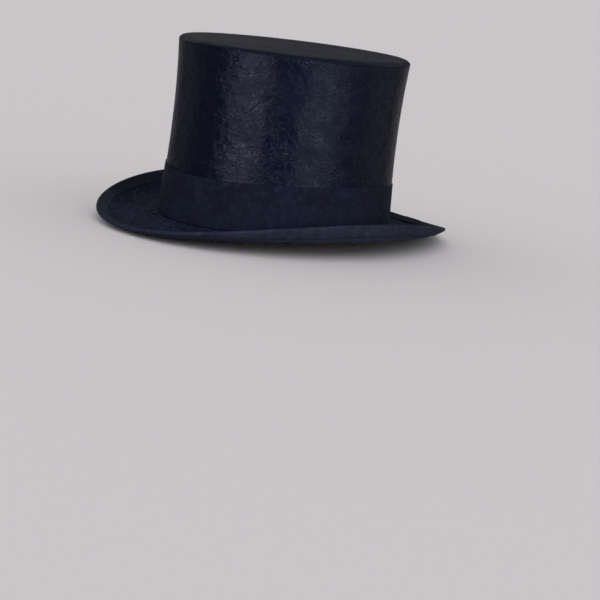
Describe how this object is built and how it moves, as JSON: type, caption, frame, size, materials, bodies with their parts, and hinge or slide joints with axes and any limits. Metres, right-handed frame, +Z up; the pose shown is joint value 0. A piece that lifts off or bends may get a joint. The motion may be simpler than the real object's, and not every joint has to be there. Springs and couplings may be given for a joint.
{
  "type": "top hat",
  "caption": "Tall oval plush-covered hat with a flat tip, wide ribbon band and a ribbon-bound brim that curls up at the sides.",
  "frame": {"origin": "centre of the whole hat's box, on the surface that the brim stands on", "axes": "+Z up towards the tip, +Y towards the wearer's back, +X to the wearer's left"},
  "size_m": [0.2416, 0.3233, 0.1521],
  "materials": {
    "crown_plush": "silk hatter's plush, nap brushed round the crown",
    "brim_plush": "short matte plush",
    "merino": "fine matte wool cloth",
    "grosgrain": "ribbed matte ribbon",
    "gossamer": "linen stiffened with shellac",
    "linen": "plain linen tape",
    "roan_leather": "smooth, soft sheen",
    "satin": "ivory satin",
    "black_thread": "waxed thread",
    "pale_thread": "waxed thread",
    "bow_ribbon": "narrow ribbon"
  },
  "bodies": {
    "root": {"crown_side_shell": "gossamer", "crown_tip_shell": "gossamer", "robbin_strip": "linen", "brim_shell": "gossamer", "crown_side_plush": "crown_plush", "crown_tip_plush": "crown_plush", "brim_upper_plush": "brim_plush", "brim_under_cloth": "merino", "brim_edge_binding": "grosgrain", "brim_binding_lap": "grosgrain", "binding_stitches": "black_thread", "hat_band": "grosgrain", "hat_band_lap": "grosgrain", "hat_band_tacks": "black_thread", "sweatband": "roan_leather", "sweatband_reed": "linen", "reed_tape": "linen", "sweatband_stitches": "pale_thread", "sweatband_bow": "bow_ribbon", "sweatband_bow_knot": "bow_ribbon", "lining_side": "satin", "lining_tip": "satin", "lining_stitches": "pale_thread"}
  },
  "joints": []
}
